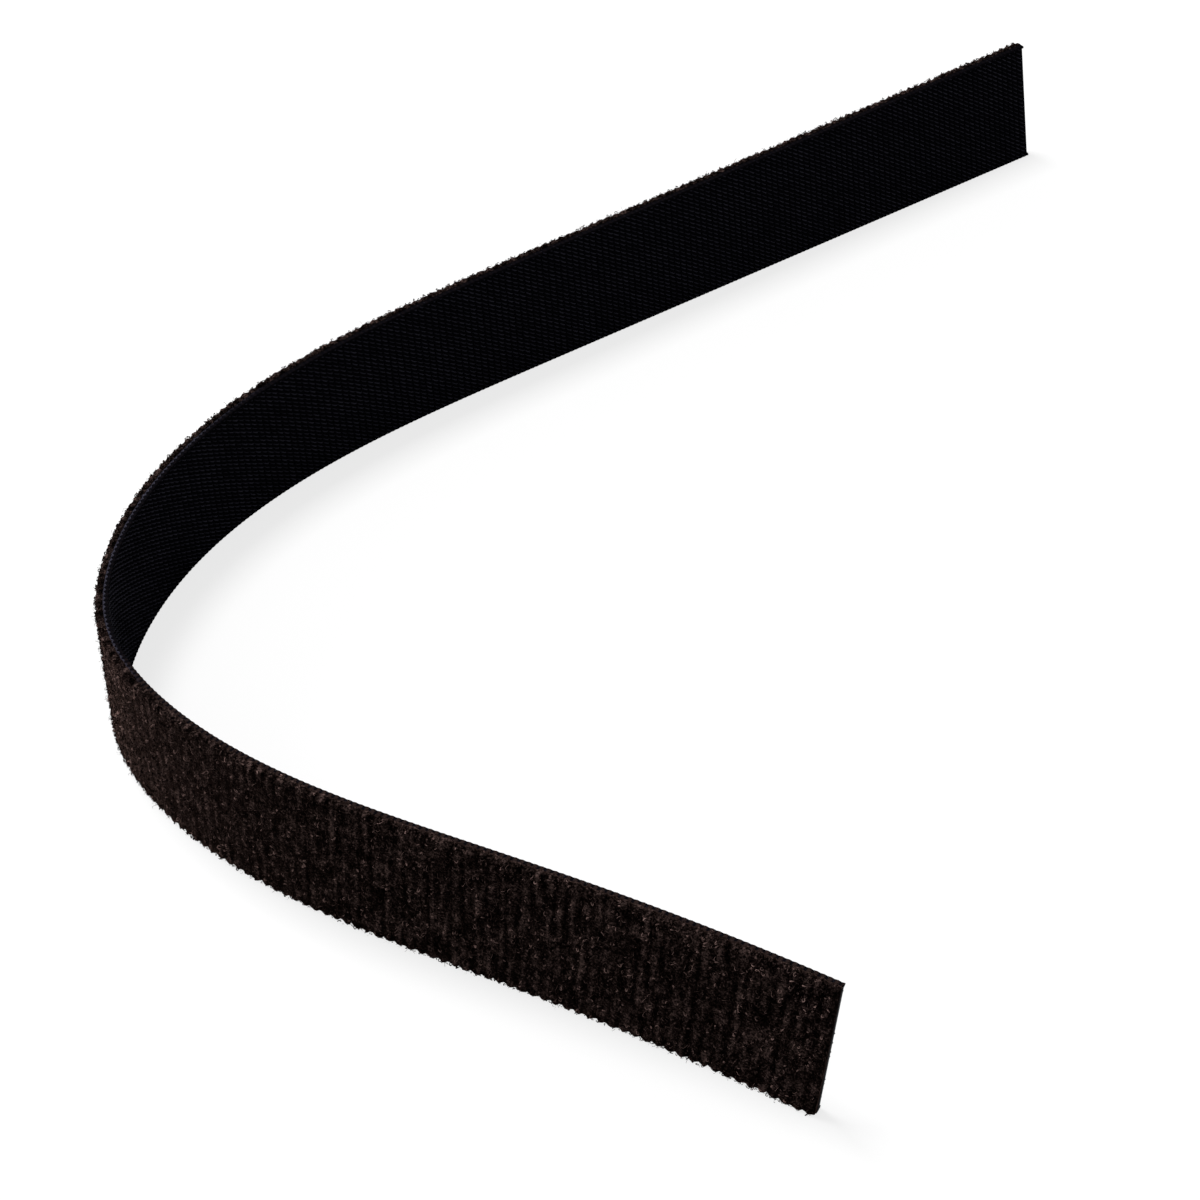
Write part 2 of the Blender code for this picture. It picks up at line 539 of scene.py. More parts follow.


# %% [markdown]
# ### The grounds
#
# Each ground is a thin woven band. The hook ground has a thicker selvedge, where the weft yarn turns
# back and leaves a row of small beads. Those beads are the fine teeth along the top of the near arm, and
# the rim is painted darker between them, as painted shade in the gaps. Along the bend the top face of
# the hook ground is painted pale, as a painted highlight where that edge catches the light.

# %% The two grounds
GROUND_ROUND = 0.05 * MM
BEAD_DEPTH = 0.08 * MM
GROUND_STEP = 0.22 * MM


def ground_rings(side, front, edge_front):
    """The outline of a ground at each station, with a thicker selvedge along both edges."""
    flat = np.zeros_like(edge_front)
    corner = GROUND_ROUND
    top = STRAP_WIDTH + flat
    thick = SELVEDGE_RISE + flat
    thin = SELVEDGE_RISE + SELVEDGE_SLOPE + flat
    offs = [flat, edge_front - corner, edge_front, edge_front, front + flat]
    ups = [flat, flat, corner + flat, thick, thin]
    offs += offs[::-1]
    ups += [top - up for up in ups[::-1]]
    return side * np.stack(offs, axis=1), np.stack(ups, axis=1)


ground_stations = stations_every(GROUND_STEP)
bead = 0.5 + 0.5 * np.cos(FULL_TURN * ground_stations / BEAD_PITCH)
hook_rings = ground_rings(-1.0, HOOK_GROUND_FRONT, SELVEDGE_FRONT + BEAD_DEPTH * bead)
hook_ground = closed_ribbon("hook_ground", ground_stations, *hook_rings, hook_ground_finish)
loop_rings = ground_rings(1.0, LOOP_GROUND_FRONT, np.full_like(ground_stations, LOOP_GROUND_FRONT))
loop_ground = closed_ribbon("loop_ground", ground_stations, *loop_rings, loop_ground_finish)

# %% [markdown]
# ### The felt under the loops
#
# Brushing lays most loops flat, so that they mat into a soft felt, and only the last ones
# stand clear of it. The felt wraps round both edges of the strap. Its height follows the
# ribs, which are 1.57 mm apart, and a noise. Its edges step in between two ribs, and this
# gives the strap its scalloped outline.

# %% Shape the felt
FELT_STEP = 0.40 * MM
FELT_LEVEL = 0.96 * MM
FELT_BACK = -0.02 * MM
FELT_RIB_DEPTH = 0.05 * MM
FELT_ROUGHNESS = 0.12 * MM
EDGE_ROLL = 0.22 * MM
SCALLOP_TOP = -0.28 * MM
SCALLOP_DEPTH = 0.50 * MM
EDGE_DRIFT = 4.5 * MM
EDGE_DRIFT_DEPTH = 0.17 * MM
SCALLOP_UNEVEN = 1.8
ROUGH_FINE = 1900.0
ROUGH_BROAD = 520.0
FINE_SHARE = 0.65
BROAD_SHARE = 0.50

# Rows of the noise, far enough apart that no two patterns are alike
BROAD_ROW = 7.0
DRIFT_ROW = 9.0
LOW_EDGE_ROW = 5.0
HIGH_EDGE_ROW = 15.0


def rib_share(along):
    """One on the crest of a rib and zero between two ribs."""
    return 0.5 - 0.5 * np.cos(FULL_TURN * along / RIB_PITCH)


def felt_noise(along, around):
    """Small lumps on broad ones, from about -1 to 1."""
    fine = noise.noise(Vector((along * ROUGH_FINE, around * ROUGH_FINE, 0.0)))
    broad = noise.noise(Vector((along * ROUGH_BROAD, around * ROUGH_BROAD, BROAD_ROW)))
    return FINE_SHARE * fine + BROAD_SHARE * broad


felt_stations = stations_every(FELT_STEP)
crest = rib_share(felt_stations)[:, None]


def edge_inset(depth, row):
    """How far an edge steps in: scallops between the ribs, and a slow drift."""
    uneven = [[noise.noise(Vector((station / RIB_PITCH, row, 0.0)))] for station in felt_stations]
    drift = [[noise.noise(Vector((station / EDGE_DRIFT, row, DRIFT_ROW)))] for station in felt_stations]
    scallop = np.maximum(1.0 + SCALLOP_UNEVEN * np.array(uneven), 0.0) * (1.0 - crest)
    return SCALLOP_TOP + EDGE_ROLL + depth * scallop + EDGE_DRIFT_DEPTH * np.array(drift)


edge_low = edge_inset(SCALLOP_DEPTH, LOW_EDGE_ROW)
edge_high = STRAP_WIDTH - edge_inset(0.5 * SCALLOP_DEPTH, HIGH_EDGE_ROW)
around_count = round((STRAP_WIDTH + EDGE_WRAP) / FELT_STEP)
around_share = np.linspace(0.0, 1.0, around_count + 1)[None, :]
around = edge_low - EDGE_WRAP + (edge_high - edge_low + 2.0 * EDGE_WRAP) * around_share
held = np.clip(around, edge_low, edge_high)
fold = (around - held) / EDGE_WRAP * (0.5 * math.pi)
rough = np.array([[felt_noise(a, u) for u in row] for a, row in zip(felt_stations, around)])
swell = FELT_LEVEL - FELT_BACK + FELT_ROUGHNESS * rough - FELT_RIB_DEPTH * (1.0 - crest)
felt_ups = np.maximum(held + EDGE_ROLL * np.sin(fold), 0.0)
felt_offs = FELT_BACK + swell * np.cos(fold)
pile_felt = closed_ribbon("pile_felt", felt_stations, felt_offs, felt_ups, felt_finish, crease=180.0)

# %% [markdown]
# ## What repeats: hooks and loops
#
# Thousands of hooks and loops can't be placed by hand. Geometry Nodes make a flat grid of
# points, read the place and the direction of the glue line at each point's distance along
# it, and put one small shape there. The same tree serves both faces. The hooks stand in a
# strict lattice, 1.19 mm apart along the strap and 0.74 mm across it, and each lies
# slantwise. The loops get the same lattice with everything thrown about at random.

# %% The glue line as a curve that the tree can read
def path_curve():
    curve = bpy.data.curves.new("glue_line", "CURVE")
    curve.dimensions = "3D"
    line = curve.splines.new("POLY")
    line.points.add(len(path_x) - 1)
    for point, x, y in zip(line.points, path_x, path_y):
        point.co = (x, y, 0.0, 1.0)
    holder = bpy.data.objects.new("glue_line", curve)
    bpy.context.scene.collection.objects.link(holder)
    return holder


glue_line = path_curve()

# %% The inputs of the tree
FIELD_INPUTS = {
    "Path": "NodeSocketObject",
    "Shapes": "NodeSocketCollection",
    "Material": "NodeSocketMaterial",
    "Seed": "NodeSocketInt",
}
FIELD_NUMBERS = ["Start", "Run", "Low", "Rise", "Spacing Along", "Spacing Across"]
FIELD_NUMBERS += ["Stand Off", "Side", "Scatter", "Slant", "Spin", "Tilt", "Smallest", "Largest"]
FIELD_NUMBERS += ["Rib Fall", "Edge Low", "Scallop"]
FIELD_INPUTS.update({name: "NodeSocketFloat" for name in FIELD_NUMBERS})


# %% Small helpers for the tree
def random_between(net, low, high, seed):
    settings = {"data_type": "FLOAT"}
    return net.node("FunctionNodeRandomValue", settings, {"Min": low, "Max": high, "Seed": seed})


def kept(net, geometry, name, value, domain):
    """Store a number on each element, so that later nodes and the material can read it."""
    inputs = {"Geometry": geometry, "Name": name, "Value": value}
    settings = {"data_type": "FLOAT", "domain": domain}
    return net.node("GeometryNodeStoreNamedAttribute", settings, inputs)


def read_back(net, name):
    return net.node("GeometryNodeInputNamedAttribute", {"data_type": "FLOAT"}, {"Name": name})


def vector_maths(net, operation, inputs):
    return net.node("ShaderNodeVectorMath", {"operation": operation}, inputs)


# %% Points of the field in strap numbers
def field_points(net, given):
    columns = given["Run"] / given["Spacing Along"] + 1.0
    rows = given["Rise"] / given["Spacing Across"] + 1.0
    sizes = {"Size X": given["Run"], "Size Y": given["Rise"], "Vertices X": columns, "Vertices Y": rows}
    grid = net.node("GeometryNodeMeshGrid", inputs=sizes)
    place = net.node("ShaderNodeSeparateXYZ", inputs=[net.node("GeometryNodeInputPosition")])
    stray_along = random_between(net, -0.5, 0.5, given["Seed"]) * given["Scatter"]
    stray_up = random_between(net, -0.5, 0.5, given["Seed"] + 1) * given["Scatter"]
    along = place + given["Run"] * 0.5 + given["Start"] + stray_along * given["Spacing Along"]
    up = place.other("Y") + given["Rise"] * 0.5 + given["Low"] + stray_up * given["Spacing Across"]
    points = kept(net, grid, "along", along, "POINT")
    return kept(net, points, "up", up, "POINT")


# %% Fold the rows round the two edges
def folded_row(net, given, along, up):
    """Angle of the fold, height, and how much of the stand-off is left there."""
    valley = along.phase(RIB_PITCH).cosine() * 0.5 + 0.5
    low = given["Edge Low"] + valley * given["Scallop"] + EDGE_ROLL
    held = up.maths("MAXIMUM", up, low)
    held = held.maths("MINIMUM", held, STRAP_WIDTH - low)
    fold = (up - held) / EDGE_WRAP * (0.5 * math.pi)
    return valley, fold, held + fold.sine() * EDGE_ROLL, fold.cosine()


# %% Stand the points off the glue line
def stood_points(net, given, points, along, height, left):
    line = net.node("GeometryNodeObjectInfo", inputs={"Object": given["Path"]}).other("Geometry")
    settings = {"mode": "LENGTH", "use_all_curves": True}
    reach = {"Curves": line, "Length": along + RUN_ON}
    sample = net.node("GeometryNodeSampleCurve", settings, reach)
    tangent = sample.other("Tangent")
    outward = vector_maths(net, "CROSS_PRODUCT", [(0.0, 0.0, 1.0), tangent])
    facing = vector_maths(net, "SCALE", {"Vector": outward, "Scale": given["Side"]})
    stand = FELT_BACK + (given["Stand Off"] - FELT_BACK) * left
    lean_angle = NEAR_LEAN + along / STRAP_LENGTH * (FAR_LEAN - NEAR_LEAN)
    stand = stand + height * lean_angle.maths("TANGENT", lean_angle) * given["Side"]
    set_off = vector_maths(net, "SCALE", {"Vector": facing, "Scale": stand})
    lift = net.node("ShaderNodeCombineXYZ", inputs={"Z": height})
    raised = vector_maths(net, "ADD", [sample.other("Position"), lift])
    place = vector_maths(net, "ADD", [raised, set_off])
    points = net.node("GeometryNodeSetPosition", inputs={"Geometry": points, "Position": place})
    return points, facing, tangent


# %% Turn each shape its own way
def turned_shapes(net, given, facing, tangent, fold):
    axes = {"primary_axis": "Z", "secondary_axis": "X"}
    upright = net.node("FunctionNodeAxesToRotation", axes, [facing, tangent])
    local = {"rotation_space": "LOCAL"}
    fold_by = net.node("ShaderNodeCombineXYZ", inputs={"X": fold * given["Side"]})
    folded = net.node("FunctionNodeRotateRotation", local, [upright, fold_by])
    tilt_x = random_between(net, -1.0, 1.0, given["Seed"] + 2) * given["Tilt"]
    tilt_y = random_between(net, -1.0, 1.0, given["Seed"] + 3) * given["Tilt"]
    spin = random_between(net, -1.0, 1.0, given["Seed"] + 4) * given["Spin"] + given["Slant"]
    turn_by = net.node("ShaderNodeCombineXYZ", inputs=[tilt_x, tilt_y, spin])
    return net.node("FunctionNodeRotateRotation", local, [folded, turn_by])


# %% The tree that sets the shapes along the strap
LEAST_LEFT = 0.05
MOST_SHAPES = 99


def strap_field():
    tree = bpy.data.node_groups.new("strap_field", "GeometryNodeTree")
    for name, kind in FIELD_INPUTS.items():
        tree.interface.new_socket(name, in_out="INPUT", socket_type=kind)
    tree.interface.new_socket("Geometry", in_out="OUTPUT", socket_type="NodeSocketGeometry")
    net = Net(tree)
    entry = net.node("NodeGroupInput")
    given = {name: entry.other(name) for name in FIELD_INPUTS}
    points = field_points(net, given)
    along = read_back(net, "along")
    valley, fold, height, left = folded_row(net, given, along, read_back(net, "up"))
    points, facing, tangent = stood_points(net, given, points, along, height, left)
    turned = turned_shapes(net, given, facing, tangent, fold)
    size = random_between(net, given["Smallest"], given["Largest"], given["Seed"] + 5)
    size = size * (1.0 - valley * given["Rib Fall"])
    source = {"Collection": given["Shapes"], "Separate Children": True, "Reset Children": True}
    choice = {"Min": 0, "Max": MOST_SHAPES, "Seed": given["Seed"] + 7}
    placed = {
        "Points": points,
        "Selection": left.above(LEAST_LEFT),
        "Instance": net.node("GeometryNodeCollectionInfo", inputs=source),
        "Pick Instance": True,
        "Instance Index": net.node("FunctionNodeRandomValue", {"data_type": "INT"}, choice),
        "Rotation": turned,
        "Scale": size,
    }
    copies = net.node("GeometryNodeInstanceOnPoints", inputs=placed)
    shade = random_between(net, 0.0, 1.0, given["Seed"] + 6)
    copies = kept(net, copies, "shade", shade, "INSTANCE")
    solid = net.node("GeometryNodeRealizeInstances", inputs=[copies])
    place = net.node("ShaderNodeSeparateXYZ", inputs=[net.node("GeometryNodeInputPosition")])
    standing = place.other("Z").maths("MAXIMUM", place.other("Z"), 0.0)
    pressed = net.node("ShaderNodeCombineXYZ", inputs=[place, place.other("Y"), standing])
    solid = net.node("GeometryNodeSetPosition", inputs={"Geometry": solid, "Position": pressed})
    finished = {"Geometry": solid, "Material": given["Material"]}
    finished = net.node("GeometryNodeSetMaterial", inputs=finished)
    net.node("NodeGroupOutput", inputs=[finished])
    return tree


field_tree = strap_field()
print("the field tree has", len(field_tree.nodes), "nodes")


# %% Run the tree and keep a plain mesh
def grow_field(name, values):
    host = bpy.data.objects.new(name + "_host", bpy.data.meshes.new(name + "_host"))
    bpy.context.scene.collection.objects.link(host)
    modifier = host.modifiers.new("strap_field", "NODES")
    modifier.node_group = field_tree
    for item in field_tree.interface.items_tree:
        if item.in_out == "INPUT":
            modifier[item.identifier] = values[item.name]
    graph = bpy.context.evaluated_depsgraph_get()
    grown = host.evaluated_get(graph)
    mesh = bpy.data.meshes.new_from_object(grown, preserve_all_data_layers=True, depsgraph=graph)
    bpy.data.objects.remove(host, do_unlink=True)
    mesh.name = name
    mesh.shade_smooth()
    piece = bpy.data.objects.new(name, mesh)
    bpy.context.scene.collection.objects.link(piece)
    print(name, "has", sum(len(face.vertices) - 2 for face in mesh.polygons), "triangles")
    return piece


# %% [markdown]
# ### Shapes to repeat
#
# A hook is a short cane of nylon, a fifth of a millimetre thick. A loop is a curl of yarn.
# Both are tubes drawn through a few points, with few faces, because each is copied thousands
# of times.

# %% Draw a thin tube through points
def thin_tube(name, points, thickness, sides):
    points = [Vector(point) for point in points]
    shape = bmesh.new()
    rings = []
    across = (points[1] - points[0]).orthogonal()
    for index, point in enumerate(points):
        ahead = points[min(index + 1, len(points) - 1)]
        behind = points[max(index - 1, 0)]
        direction = (ahead - behind).normalized()
        across = (across - across.dot(direction) * direction).normalized()
        beside = direction.cross(across)
        ring = []
        for side in range(sides):
            angle = FULL_TURN * side / sides
            away = math.cos(angle) * across + math.sin(angle) * beside
            ring.append(shape.verts.new(point + 0.5 * thickness * away))
        rings.append(ring)
    for lower, upper in zip(rings, rings[1:]):
        for side in range(sides):
            after = (side + 1) % sides
            shape.faces.new((lower[side], lower[after], upper[after], upper[side]))
    shape.faces.new(rings[-1])
    shape.faces.new(list(reversed(rings[0])))
    bmesh.ops.recalc_face_normals(shape, faces=shape.faces)
    mesh = bpy.data.meshes.new(name)
    shape.to_mesh(mesh)
    shape.free()
    return bpy.data.objects.new(name, mesh)


def shape_set(name, shapes):
    holder = bpy.data.collections.new(name)
    bpy.context.scene.collection.children.link(holder)
    for shape in shapes:
        holder.objects.link(shape)
    return holder


# %% One hook
HOOK_THICKNESS = 0.25 * MM
HOOK_SPAN = 1.12 * MM
HOOK_RISE = 0.36 * MM
HOOK_SWEEP = 0.86 * math.pi
HOOK_JOINTS = 4


def hook_points():
    """A cane: it rises from the ground, arches over and ends half way down again."""
    points = []
    for joint in range(HOOK_JOINTS):
        angle = math.pi - HOOK_SWEEP * joint / (HOOK_JOINTS - 1)
        points.append((0.5 * HOOK_SPAN * math.cos(angle), 0.0, HOOK_RISE * math.sin(angle)))
    return points


hook_shapes = shape_set("hook_shapes", [thin_tube("hook", hook_points(), HOOK_THICKNESS, 4)])

# %% A few loops, with their ranges in millimetres and half turns
LOOP_SHAPES = 8
LOOP_JOINTS = 5
LOOP_RADIUS = (0.08, 0.20)
LOOP_RISE = (0.14, 0.30)
LOOP_SWEEP = (0.9, 1.6)
LOOP_DRIFT = (-0.25, 0.25)
LOOP_THICKNESS = (0.08, 0.13)


def loop_points(random):
    """A curl that leaves the felt, wanders sideways and dips back."""
    radius = random.uniform(*LOOP_RADIUS) * MM
    rise = random.uniform(*LOOP_RISE) * MM
    sweep = random.uniform(*LOOP_SWEEP) * math.pi
    drift = random.uniform(*LOOP_DRIFT) * MM
    points = []
    for joint in range(LOOP_JOINTS):
        share = joint / (LOOP_JOINTS - 1)
        angle = sweep * (share - 0.5)
        height = rise * math.sin(math.pi * min(1.0, 0.08 + 0.9 * share))
        points.append((radius * math.sin(angle), radius * math.cos(angle) + drift * share, height))
    return points


loop_random = np.random.default_rng(11)
loop_shapes = []
for number in range(LOOP_SHAPES):
    thickness = loop_random.uniform(*LOOP_THICKNESS) * MM
    loop_shapes.append(thin_tube(f"loop_{number}", loop_points(loop_random), thickness, 3))
loop_shapes = shape_set("loop_shapes", loop_shapes)

# %% [markdown]
# ### The hooks
#
# The lattice of the hooks is strict, so almost nothing is scattered. Each hook lies about 32
# degrees off the length of the strap, sloping down towards the far end, and that slant is
# what draws the fine diagonal lines on the dark face. The field is made in two halves, to
# keep each mesh small.

# %% Plant the hooks
HOOK_PITCH_ALONG = 1.19 * MM
HOOK_PITCH_ACROSS = 0.74 * MM
HOOK_SLANT = math.radians(-32.0)
HOOK_MARGIN_ALONG = 0.50 * MM
HOOK_MARGIN_ACROSS = 0.30 * MM

hook_columns = math.floor((STRAP_LENGTH - 2.0 * HOOK_MARGIN_ALONG) / HOOK_PITCH_ALONG)
hook_rows = math.floor((STRAP_WIDTH - 2.0 * HOOK_MARGIN_ACROSS) / HOOK_PITCH_ACROSS)
hook_rise = hook_rows * HOOK_PITCH_ACROSS
near_columns = hook_columns // 2
hook_values = {
    "Path": glue_line,
    "Shapes": hook_shapes,
    "Material": hook_finish,
    "Low": 0.5 * (STRAP_WIDTH - hook_rise),
    "Rise": hook_rise,
    "Spacing Along": HOOK_PITCH_ALONG,
    "Spacing Across": HOOK_PITCH_ACROSS,
    "Stand Off": HOOK_GROUND_FRONT,
    "Side": -1.0,
    "Scatter": 0.04,
    "Slant": HOOK_SLANT,
    "Spin": 0.06,
    "Tilt": 0.05,
    "Smallest": 0.94,
    "Largest": 1.06,
    "Rib Fall": 0.0,
    "Edge Low": -EDGE_ROLL,
    "Scallop": 0.0,
    "Seed": 3,
}
near_hooks = {"Start": HOOK_MARGIN_ALONG, "Run": near_columns * HOOK_PITCH_ALONG}
far_start = HOOK_MARGIN_ALONG + (near_columns + 1) * HOOK_PITCH_ALONG
far_hooks = {"Start": far_start, "Run": (hook_columns - near_columns - 1) * HOOK_PITCH_ALONG}
hooks_near = grow_field("hooks_near", {**hook_values, **near_hooks})
hooks_far = grow_field("hooks_far", {**hook_values, **far_hooks})

# %% [markdown]
# ### The loops
#
# The loops are scattered by more than their own spacing, spun any way round and tilted, so
# the lattice can't be seen. They are a little smaller between two ribs. At both edges of the
# strap the field folds over with the felt, so the loops there stand up and down.

# %% Plant the loops in four lengths
LOOP_PITCH = 0.59 * MM
LOOP_FIELDS = 4
LOOP_MARGIN = 0.30 * MM

loop_run = (STRAP_LENGTH - 2.0 * LOOP_MARGIN) / LOOP_FIELDS
loop_values = {
    "Path": glue_line,
    "Shapes": loop_shapes,
    "Material": loop_finish,
    "Low": SCALLOP_TOP - 0.5 * EDGE_WRAP,
    "Rise": STRAP_WIDTH - 2.0 * SCALLOP_TOP + EDGE_WRAP,
    "Spacing Along": LOOP_PITCH,
    "Spacing Across": LOOP_PITCH,
    "Stand Off": FELT_LEVEL - 0.10 * MM,
    "Side": 1.0,
    "Scatter": 1.2,
    "Slant": 0.0,
    "Spin": math.pi,
    "Tilt": 0.45,
    "Smallest": 0.70,
    "Largest": 1.45,
    "Rib Fall": 0.10,
    "Edge Low": SCALLOP_TOP,
    "Scallop": 0.4 * SCALLOP_DEPTH,
}
loop_pieces = []
for number in range(LOOP_FIELDS):
    start = LOOP_MARGIN + number * loop_run + 0.5 * LOOP_PITCH
    stretch = {"Start": start, "Run": loop_run - LOOP_PITCH, "Seed": 40 + 10 * number}
    loop_pieces.append(grow_field(f"pile_loops_{number}", {**loop_values, **stretch}))

# %% [markdown]
# ### The stray hairs
#
# Brushing also pulls single fibres out of the pile. They are far thinner than the loops and stand well
# clear of them, so the eye meets them only along the outline, as a pale fringe. Their colour is lighter
# than the loops', as painted sheen on that fringe.
# The same tree throws them over the whole pile.

# %% A few hairs, with their ranges in millimetres
HAIR_SHAPES = 6
HAIR_JOINTS = 4
HAIR_THICKNESS = 0.035 * MM
HAIR_RISE = (0.30, 0.60)
HAIR_LEAN = (0.05, 0.45)
HAIR_CURL = (-0.30, 0.30)
HAIR_BEND = 0.62 * math.pi


def hair_points(random):
    """A fibre that rises out of the pile and bends over."""
    rise = random.uniform(*HAIR_RISE) * MM
    lean = random.uniform(*HAIR_LEAN) * MM
    curl = random.uniform(*HAIR_CURL) * MM
    points = []
    for joint in range(HAIR_JOINTS):
        share = joint / (HAIR_JOINTS - 1)
        height = rise * math.sin(HAIR_BEND * share)
        points.append((lean * share * share, curl * share * (1.0 - 0.4 * share), height))
    return points


hair_random = np.random.default_rng(23)
hair_shapes = []
for number in range(HAIR_SHAPES):
    hair_shapes.append(thin_tube(f"hair_{number}", hair_points(hair_random), HAIR_THICKNESS, 3))
hair_shapes = shape_set("hair_shapes", hair_shapes)

# %% Throw the hairs over the pile
HAIR_PITCH = 1.25 * MM
HAIR_MARGIN = 1.0 * MM

hair_values = {
    **loop_values,
    "Shapes": hair_shapes,
    "Material": hair_finish,
    "Start": HAIR_MARGIN,
    "Run": STRAP_LENGTH - 2.0 * HAIR_MARGIN,
    "Spacing Along": HAIR_PITCH,
    "Spacing Across": HAIR_PITCH,
    "Stand Off": FELT_LEVEL,
    "Scatter": 1.6,
    "Tilt": 0.7,
    "Rib Fall": 0.0,
    "Seed": 90,
}
stray_hairs = grow_field("stray_hairs", hair_values)

# %% [markdown]
# ## The shorn ends
#
# Each end is shorn straight through both tapes, which leaves a thin smooth rim on the two
# woven grounds, between the hooks and the pile.

# %% Trim the ends
END_DEPTH = 0.30 * MM
END_PROUD = 0.05 * MM
END_INNER = -0.40 * MM
END_OUTER = 0.24 * MM
END_CORNER = 0.06 * MM
END_WOBBLE = 0.04 * MM
WOBBLE_PACE = 26.0
WOBBLE_APART = 90.0
WOBBLE_ROW = 3.0
END_STEPS = 24


def shorn_end(name, start, inward):
    """A thin slab over the cut of the two grounds, with its corners rounded."""
    depths = np.array([-END_PROUD, 0.0, 0.5 * END_DEPTH, END_DEPTH])
    insets = [END_CORNER, 0.0, 0.0, END_CORNER]
    share = np.linspace(0.0, 1.0, END_STEPS)
    row = start * WOBBLE_APART
    wobble = np.array([noise.noise(Vector((height * WOBBLE_PACE, row, WOBBLE_ROW))) for height in share])
    offs = []
    ups = []
    for inset in insets:
        outer = END_OUTER - inset + END_WOBBLE * wobble
        inner = np.full(END_STEPS, END_INNER + inset)
        rise = inset + share * (STRAP_WIDTH - 2.0 * inset)
        offs.append(np.concatenate([outer, inner[::-1]]))
        ups.append(np.concatenate([rise, rise[::-1]]))
    stations = start + inward * depths
    return closed_ribbon(name, stations, np.array(offs), np.array(ups), shorn_finish, crease=60.0)


near_end = shorn_end("near_end", 0.0, 1.0)
far_end = shorn_end("far_end", STRAP_LENGTH, -1.0)

# %% Clear away the helpers
for holder in (hook_shapes, loop_shapes, hair_shapes):
    for shape in list(holder.objects):
        bpy.data.objects.remove(shape, do_unlink=True)
    bpy.data.collections.remove(holder)
bpy.data.objects.remove(glue_line, do_unlink=True)

# %% [markdown]
# ## Join the pieces to the frame
#
# Nothing on the tie moves, so every piece rides on the one body. The hook side stands for
# the hook tape's solid, and the loop side for the loop tape's.

# %% Hang each piece on the body and hide the solid it covers
hook_pieces = [hook_ground, hooks_near, hooks_far]
pile_pieces = [loop_ground, pile_felt, near_end, far_end, *loop_pieces, stray_hairs]
for piece in hook_pieces:
    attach(piece, "root")
    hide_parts("hook_tape")
for piece in pile_pieces:
    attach(piece, "root")
    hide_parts("loop_tape")
print("pieces:", len(hook_pieces) + len(pile_pieces))

# %% [markdown]
# ## Stage, light and camera
#
# The photograph is a plain product picture: a white table and light from everywhere. A lamp
# high on the left throws the pale, narrow shadow to the right of the strap. A second one,
# low on the left, makes the pile brighter at the bend than along the near arm.
#
# The floor glows where the camera sees it, so that only the deep part of a shadow shows. Far
# from the tie, where less light falls, it glows more and stays white up to the horizon.

# %% A white floor
FLOOR_SIZE = 4.0
TABLE_WHITE = (0.45, 0.45, 0.45, 1.0)
TABLE_SEEN = (0.14, 0.14, 0.14, 1.0)
TABLE_GLOW = (0.75, 0.75, 0.75, 1.0)
FAR_GLOW = (0.90, 0.90, 0.90, 1.0)
NO_GLOW = (0.0, 0.0, 0.0, 1.0)
FAR_FROM = 150.0 * MM
FAR_FADE = 250.0 * MM
floor_mesh = bpy.data.meshes.new("floor")
half_floor = 0.5 * FLOOR_SIZE
floor_corners = [(-half_floor, -half_floor, 0.0), (half_floor, -half_floor, 0.0)]
floor_corners += [(half_floor, half_floor, 0.0), (-half_floor, half_floor, 0.0)]
floor_mesh.from_pydata(floor_corners, [], [(0, 1, 2, 3)])
floor = bpy.data.objects.new("floor", floor_mesh)
bpy.context.scene.collection.objects.link(floor)
floor_finish = bpy.data.materials.new("white_table")
floor_finish.use_nodes = True
floor_net = Net(floor_finish.node_tree)
floor_shader = floor_finish.node_tree.nodes["Principled BSDF"]
floor_shader.inputs["Roughness"].default_value = 1.0
floor_shader.inputs["Specular IOR Level"].default_value = 0.0
floor_shader.inputs["Emission Strength"].default_value = 1.0
floor_seen = floor_net.node("ShaderNodeLightPath")
paper = floor_net.mix_colour(floor_seen, TABLE_WHITE, TABLE_SEEN)
floor_places = floor_net.node("ShaderNodeTexCoord").other("Object")
floor_reach = floor_net.node("ShaderNodeVectorMath", {"operation": "LENGTH"}, [floor_places])
far_share = ((floor_reach - FAR_FROM) / FAR_FADE).clamped()
white = floor_net.mix_colour(far_share, TABLE_GLOW, FAR_GLOW)
glow = floor_net.mix_colour(floor_seen, NO_GLOW, white)
plug(floor_net, floor_shader, "Base Color", paper)
plug(floor_net, floor_shader, "Emission Color", glow)
floor_mesh.materials.append(floor_finish)

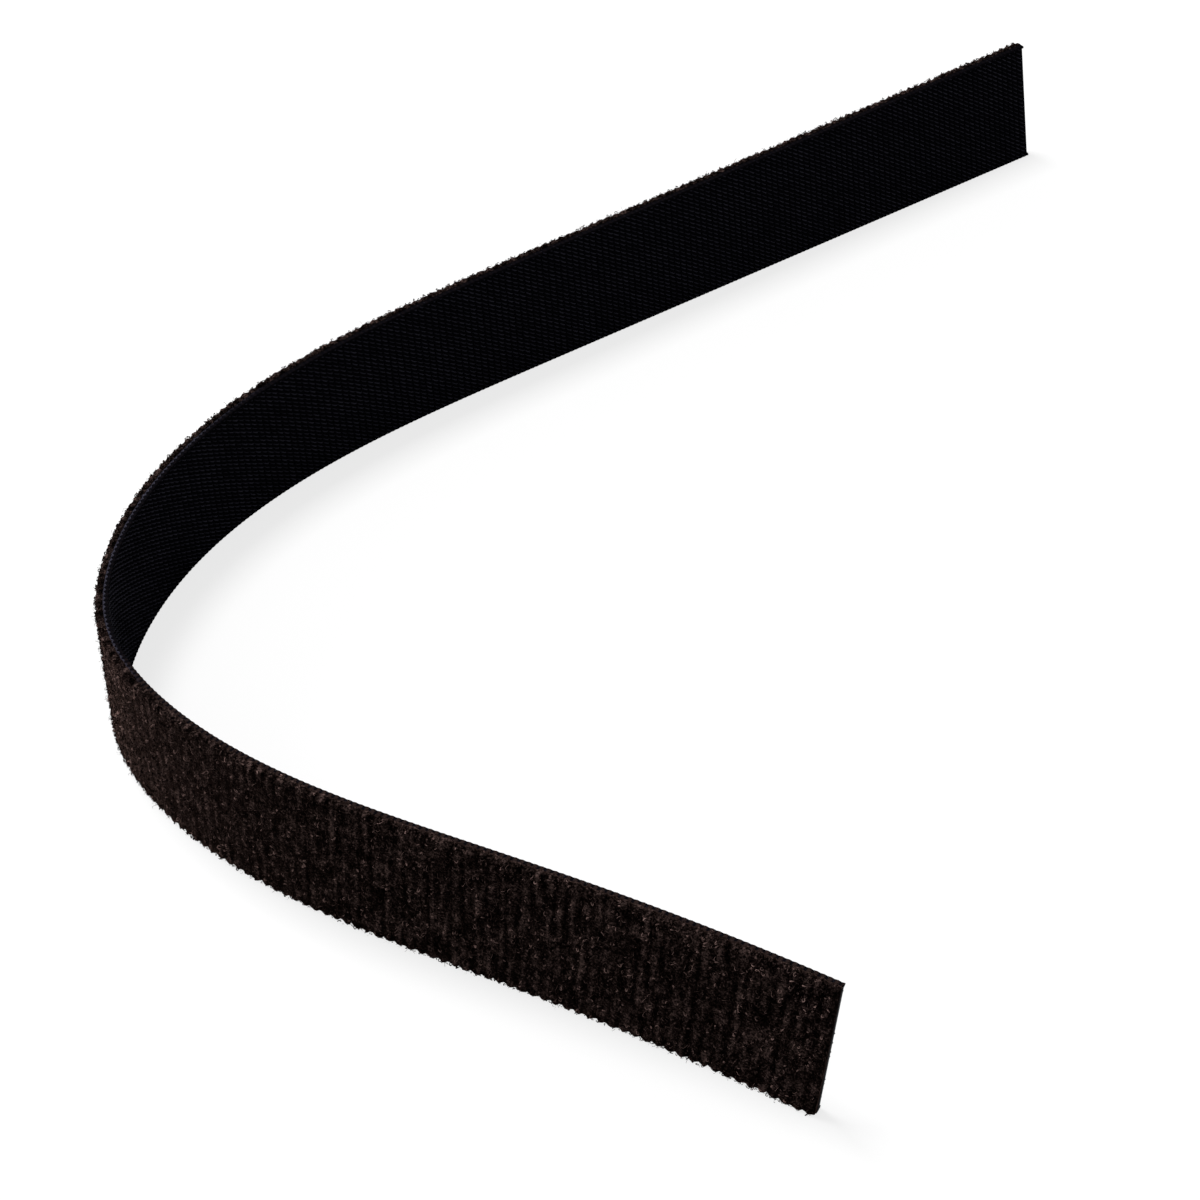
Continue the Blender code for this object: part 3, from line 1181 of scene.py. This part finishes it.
# %% Light from everywhere, seen as white
AMBIENT_LEVEL = 0.75
world = bpy.data.worlds.new("studio")
bpy.context.scene.world = world
world.use_nodes = True
world_net = Net(world.node_tree)
backdrop = world.node_tree.nodes["Background"]
backdrop.inputs["Color"].default_value = (1.0, 1.0, 1.0, 1.0)
seen = world_net.node("ShaderNodeLightPath")
level = seen * (1.0 - AMBIENT_LEVEL) + AMBIENT_LEVEL
world_net.tree.links.new(level.socket, backdrop.inputs["Strength"])

# %% Two soft lamps
HIGH_PLACE = (-0.34, 0.36, 1.15)
SIDE_PLACE = (-1.00, 0.60, 0.30)


def soft_lamp(name, place, power, size):
    """A square lamp that faces the tie."""
    data = bpy.data.lights.new(name, "AREA")
    data.energy = power
    data.size = size
    lamp = bpy.data.objects.new(name, data)
    lamp.location = place
    lamp.rotation_euler = (-Vector(place)).to_track_quat("-Z", "Y").to_euler()
    bpy.context.scene.collection.objects.link(lamp)


soft_lamp("high_lamp", HIGH_PLACE, power=20.0, size=0.35)
soft_lamp("side_lamp", SIDE_PLACE, power=26.0, size=0.9)

# %% [markdown]
# The camera looks down at about 44 degrees from the front. Its distance and lens come from
# matching the two edges of the strap at both arms: the near arm is a fifth larger in the
# picture than the far one. The small shift keeps the far end inside the frame.

# %% The camera
CAMERA_PITCH = math.radians(43.77)
CAMERA_DISTANCE = 341.2 * MM
CAMERA_TARGET = Vector((-4.88, -25.78, 0.0)) * MM
FOCAL_PIXELS = 2369.0
FRAME_PIXELS = 1200.0
SHIFT_PIXELS = 40.0
SENSOR = 36.0
camera_data = bpy.data.cameras.new("camera")
camera_data.sensor_width = SENSOR
camera_data.lens = SENSOR * FOCAL_PIXELS / FRAME_PIXELS
camera_data.shift_y = SHIFT_PIXELS / FRAME_PIXELS
camera_data.clip_start = 0.01
camera = bpy.data.objects.new("camera", camera_data)
backward = Vector((0.0, -math.cos(CAMERA_PITCH), math.sin(CAMERA_PITCH)))
camera.location = CAMERA_TARGET + CAMERA_DISTANCE * backward
camera.rotation_euler = (0.5 * math.pi - CAMERA_PITCH, 0.0, 0.0)
bpy.context.scene.collection.objects.link(camera)
bpy.context.scene.camera = camera
bpy.context.scene.view_settings.view_transform = "Standard"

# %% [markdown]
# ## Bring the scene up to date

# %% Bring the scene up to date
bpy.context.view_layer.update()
